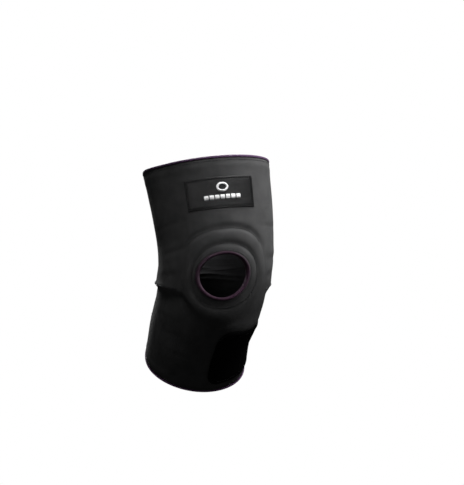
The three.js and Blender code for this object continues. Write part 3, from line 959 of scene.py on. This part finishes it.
def label_stitches():
    right = 1 - LABEL_STITCH_INSET / LABEL_HALF_WIDTH
    top = 1 - LABEL_STITCH_INSET / LABEL_HALF_HEIGHT
    corners = [(-right, -top), (right, -top), (right, top), (-right, top)]
    t = np.linspace(0, 1, 60)
    for k, side in enumerate(("bottom", "right", "top", "left")):
        (x, y), (to_x, to_y) = corners[k], corners[(k + 1) % 4]
        angle, s = label_place(x + (to_x - x) * t, y + (to_y - y) * t)
        row = stitch_row(f"label_stitches_{side}", angle, s, 0.55, STRAP_THREAD, pitch=2.6, length=2.0,
                         width=0.6)
        rides(row, "thigh", "thread", "label_stitching")


def embroider(name, ends, node):
    """Satin stitch: flat threads laid side by side, each between two (angle, height) places."""
    ends = np.array(ends)
    angle, s = ends[:, 0::2], ends[:, 1::2]
    off = relief(angle, s) + 1.05
    points = surface(angle, s, off)
    along = points[:, 1] - points[:, 0]
    length = np.linalg.norm(along, axis=1)
    along = unit(along)
    up = square_to(surface(angle, s, off + 1.0).mean(1) - points.mean(1), along)
    piece = stitch_mesh(name, points.mean(1), along, np.cross(along, up), up, MOTIF_THREAD, length,
                        width=0.72, height=0.6)
    return rides(piece, "thigh", "motif_thread", node)


# Half sizes of the ring's inner and outer edge, in degrees across and millimetres up.
MOTIF_INNER = (3.4, 2.7)
MOTIF_OUTER = (5.6, 4.8)
BLOCKS = {"count": 7, "start": -17.3, "pitch": 5.0, "width": 3.7, "thread": 0.48, "half_height": 2.4}


def motif():
    """A generic device: a plain oval ring over a row of plain blocks."""
    spokes = []
    for turn in np.arange(0, 2 * math.pi, 2 * math.pi / 64):
        ends = []
        for across, up in (MOTIF_INNER, MOTIF_OUTER):
            ends += [MOTIF_ANGLE + across * math.cos(turn), MOTIF_RING + up * math.sin(turn)]
        spokes.append(ends)
    embroider("motif_ring", spokes, "label_motif")
    threads = []
    low, high = MOTIF_BAR - BLOCKS["half_height"], MOTIF_BAR + BLOCKS["half_height"]
    for block in range(BLOCKS["count"]):
        left = MOTIF_ANGLE + BLOCKS["start"] + BLOCKS["pitch"] * block
        for angle in np.arange(left, left + BLOCKS["width"], BLOCKS["thread"]):
            threads.append((angle, low, angle, high))
    embroider("motif_blocks", threads, "label_bar")


# ---- strap


def strap_corner(angle):
    """How far the free end's rounded corners cut in."""
    along = np.clip(np.radians(angle - STRAP_ANGLES[0]) * STRAP_RADIUS, 0, STRAP_CORNER)
    return STRAP_CORNER - np.sqrt(STRAP_CORNER**2 - (STRAP_CORNER - along) ** 2)


def strap_lift(angle):
    """The strap lies on the shell, and rises over the hook patch at its free end."""
    return 0.35 + 1.15 * (1 - smoothstep(angle, 46, 64)) * smoothstep(angle, -3, 5)


def strap_places(rows, columns):
    """Places over the strap, closest at its free end, where the corners are round."""
    t = np.linspace(0, 1, rows)
    eased = t * 0.72 + 0.28 * t * t
    eased = np.where(t < 0.06, eased * (0.35 + 0.65 * t / 0.06), eased)
    angle = STRAP_ANGLES[0] + (STRAP_ANGLES[2] - STRAP_ANGLES[0]) * eased
    cut = strap_corner(angle)
    low, high = strap_low(angle) + cut, strap_top(angle) - cut
    b = np.linspace(0, 1, columns)
    heights = low[:, None] + (high - low)[:, None] * b[None, :]
    return np.repeat(angle[:, None], columns, 1), heights


def strap():
    angles, heights = strap_places(260, 40)
    edge = np.minimum(heights - heights[:, :1], heights[:, -1:] - heights)
    edge = np.minimum(edge, np.radians(angles - STRAP_ANGLES[0]) * STRAP_RADIUS)
    crown = 1.35 * np.sqrt(1 - np.exp(-np.clip(edge, 0, None) / 0.7)) - 0.3 * bump_at(edge, 3.2, 0.8)
    base = relief(angles, heights) + strap_lift(angles)
    outer = base + 0.25 + crown
    piece = cloth("calf_strap", angles, heights, outer, base, [STRAP_CLOTH, STRAP_CLOTH])
    peels(piece, "strap_loop", "strap_band", "strap_tab")


PEEL_REACH = 22.0  # the opened strap curls over this length in front of its hinge


def peel_ends():
    """Where the curl starts and ends: at the hinge, and forwards from it, square to its axis."""
    hinge = next(joint for joint in frame["joints"] if joint["name"] == "strap_peel")
    axis = Vector(hinge["axis"]).normalized()
    here, ahead = surface(np.array([STRAP_ANGLES[1], STRAP_ANGLES[1] - 14]), -62.0, 3.0)
    forwards = Vector((ahead - here).tolist())
    forwards -= axis * forwards.dot(axis)
    start = Vector(hinge["pos_m"])
    return start, start + forwards.normalized() * PEEL_REACH * MM


PEEL_START, PEEL_END = peel_ends()


def strap_stitches():
    """A row inside each long edge, one across the strap behind the hook patch, and two at its root."""
    t = np.linspace(0, 1, 300)
    angle = STRAP_ANGLES[0] + 11 + (STRAP_ANGLES[2] - STRAP_ANGLES[0] - 15) * t
    for word, s in (("low", strap_low(angle) + 3.2), ("high", strap_top(angle) - 3.2)):
        row = stitch_row(f"strap_row_{word}", angle, s, strap_lift(angle) + 1.25, STRAP_THREAD, width=0.7)
        peels(row, "thread", "strap_tab_stitching")
    for word, place_angle in (("hook", 42.0), ("root", 236.0), ("root_second", 230.0)):
        s = np.linspace(strap_low(place_angle) + 4, strap_top(place_angle) - 4, 60)
        column = np.full_like(s, place_angle)
        lift = strap_lift(column) + 1.5
        row = stitch_row(f"strap_stitches_{word}", column, s, lift, STRAP_THREAD, pitch=2.8, length=2.2)
        if word == "hook":
            peels(row, "thread", "strap_tab_stitching")
        else:
            rides(row, "calf", "thread", "strap_root_stitching")


def hook_span(angle, inset):
    """The hook patch's lower and upper height, this far inside the strap's edges."""
    inset = inset + 0.5 * strap_corner(angle)
    return strap_low(angle) + inset, strap_top(angle) - inset


def hook_patch():
    """Stiff hook tape under the free end: a thin base with rows of small hooks on it."""
    angle = np.linspace(4, 46, 60)
    columns = 40
    low, high = hook_span(angle, 4.5)
    heights = low[:, None] + (high - low)[:, None] * np.linspace(0, 1, columns)[None, :]
    angles = np.repeat(angle[:, None], columns, 1)
    base = relief(angles, heights) + strap_lift(angles)
    outer, inner = base - 0.05, base - 0.5
    piece = cloth("hook_base", angles, heights, outer, inner, [HOOK_NYLON, HOOK_NYLON])
    rides(piece, "strap_end", "hook_tape", "hook_patch")
    hook_rows()


def hook_rows():
    """Small stubs that stand out of the patch towards the shell, 1.6 mm apart."""
    columns = np.arange(5.5, 45, 1.55)
    places = [(angle, s) for angle in columns for s in np.arange(*hook_span(angle, 6), 1.6)]
    angle, s = np.array(places).T
    off = relief(angle, s) + strap_lift(angle) - 0.5
    here = surface(angle, s, off)
    inwards = unit(surface(angle, s, off - 1.0) - here)
    upwards = unit(surface(angle, s + 1.0, off) - here)
    piece = stitch_mesh("hook_rows", here, inwards, np.cross(inwards, upwards), upwards, HOOK_NYLON,
                        length=1.0, width=0.35, height=0.5)
    rides(piece, "strap_end", "hook_tape", "hook_patch")


# ---- the whole brace

front_panel()
back_panel()
hem_tape("thigh_tape", SLEEVE_TOP, 1, "thigh_hem_binding", "thigh")
hem_tape("calf_tape_painted_light", SLEEVE_BOTTOM, -1, "calf_hem_binding", "calf")
hem_stitches("thigh_hem", SLEEVE_TOP, 1, "thigh_hem_stitching", "thigh")
hem_stitches("calf_hem", SLEEVE_BOTTOM, -1, "calf_hem_stitching", "calf")
window_tape_painted_shade()
ring_stitches()
ring_pad()
for side_word, side_sign in (("lateral", -1), ("medial", 1)):
    flat_seam(side_word, side_sign)
    dart_stitches(side_word, side_sign)
label()
label_stitches()
motif()
strap()
strap_stitches()
hook_patch()

# ---- camera, floor and light

CAMERA_AZIMUTH = math.radians(-12.0)
CAMERA_PITCH = math.radians(10.5)
CAMERA_DISTANCE = 2.4
CAMERA_LENS = 172.0
AIM_RIGHT = 0.0197  # where the camera looks, seen from it, from the knee's centre
AIM_UP = 0.0440
ROOM_LIGHT = 0.06
FLOOR_HEIGHT = -0.75

# Name, azimuth and elevation in degrees, distance in metres, power, the lamp's radius and its cone.
LAMPS = [
    ("key", 60, 50, 0.72, 24.5, 0.1, 46),
    ("side_key", 115, 64, 0.72, 52, 0.1, 46),
    ("fill", -25, 70, 0.72, 13, 0.1, 46),
    ("rear_key", 185, 24, 1.8, 280, 0.3, 18),
    ("low_fill", -40, -20, 0.9, 0.9, 0.3, 60),
]


def aimed(name, data, place, direction):
    """A camera or a lamp at a place, turned to look along a direction."""
    item = add_object(name, data)
    item.location = place
    item.rotation_mode = "QUATERNION"
    item.rotation_quaternion = direction.to_track_quat("-Z", "Y")
    return item


def camera_axes():
    back = Vector((
        math.sin(CAMERA_AZIMUTH) * math.cos(CAMERA_PITCH),
        -math.cos(CAMERA_AZIMUTH) * math.cos(CAMERA_PITCH),
        math.sin(CAMERA_PITCH),
    ))
    right = Vector((math.cos(CAMERA_AZIMUTH), math.sin(CAMERA_AZIMUTH), 0))
    return back, right, back.cross(right)


def add_camera():
    back, right, up = camera_axes()
    data = bpy.data.cameras.new("camera")
    data.lens = CAMERA_LENS
    data.clip_start = 0.05
    data.clip_end = 60
    place = right * AIM_RIGHT + up * AIM_UP + back * CAMERA_DISTANCE
    bpy.context.scene.camera = aimed("camera", data, place, -back)


def add_floor():
    """A round pale table top below the brace, 1 m in radius."""
    sides = 96
    turns = np.arange(sides) * 2 * math.pi / sides
    rim = np.stack([np.cos(turns), np.sin(turns), np.full(sides, FLOOR_HEIGHT)], -1)
    mesh = bpy.data.meshes.new("floor")
    mesh.from_pydata(rim.tolist(), [], [list(range(sides))])
    floor = add_object("floor", mesh)
    material = bpy.data.materials.new("floor_paint")
    material.use_nodes = True
    shader = material.node_tree.nodes["Principled BSDF"]
    shader.inputs["Base Color"].default_value = (0.86, 0.86, 0.86, 1)
    shader.inputs["Roughness"].default_value = 1.0
    shader.inputs["Specular IOR Level"].default_value = 0.0
    shader.inputs["Emission Color"].default_value = (1, 1, 1, 1)
    shader.inputs["Emission Strength"].default_value = 0.9
    mesh.materials.append(material)
    floor.visible_diffuse = False
    floor.visible_glossy = False


def add_spot(name, azimuth, elevation, distance, power, radius, cone):
    """A soft lamp that points at the knee."""
    a, e = math.radians(azimuth), math.radians(elevation)
    direction = Vector((math.sin(a) * math.cos(e), -math.cos(a) * math.cos(e), math.sin(e)))
    data = bpy.data.lights.new(name, "SPOT")
    data.energy = power
    data.shadow_soft_size = radius
    data.spot_size = math.radians(cone)
    data.spot_blend = 0.6
    aimed(name, data, direction * distance, -direction)


def add_world():
    """White as the camera sees it, and a faint light for the rest."""
    world = bpy.data.worlds.new("studio")
    world.use_nodes = True
    tree = world.node_tree
    room = tree.nodes["Background"]
    paper = tree.nodes.new("ShaderNodeBackground")
    for background, strength in ((room, ROOM_LIGHT), (paper, 1.0)):
        background.inputs["Color"].default_value = (1, 1, 1, 1)
        background.inputs["Strength"].default_value = strength
    seen = tree.nodes.new("ShaderNodeLightPath")
    mix = tree.nodes.new("ShaderNodeMixShader")
    tree.links.new(seen.outputs["Is Camera Ray"], mix.inputs[0])
    tree.links.new(room.outputs[0], mix.inputs[1])
    tree.links.new(paper.outputs[0], mix.inputs[2])
    tree.links.new(mix.outputs[0], tree.nodes["World Output"].inputs["Surface"])
    bpy.context.scene.world = world


add_camera()
add_floor()
add_world()
for lamp in LAMPS:
    add_spot(*lamp)
bpy.context.scene.view_settings.view_transform = "Standard"
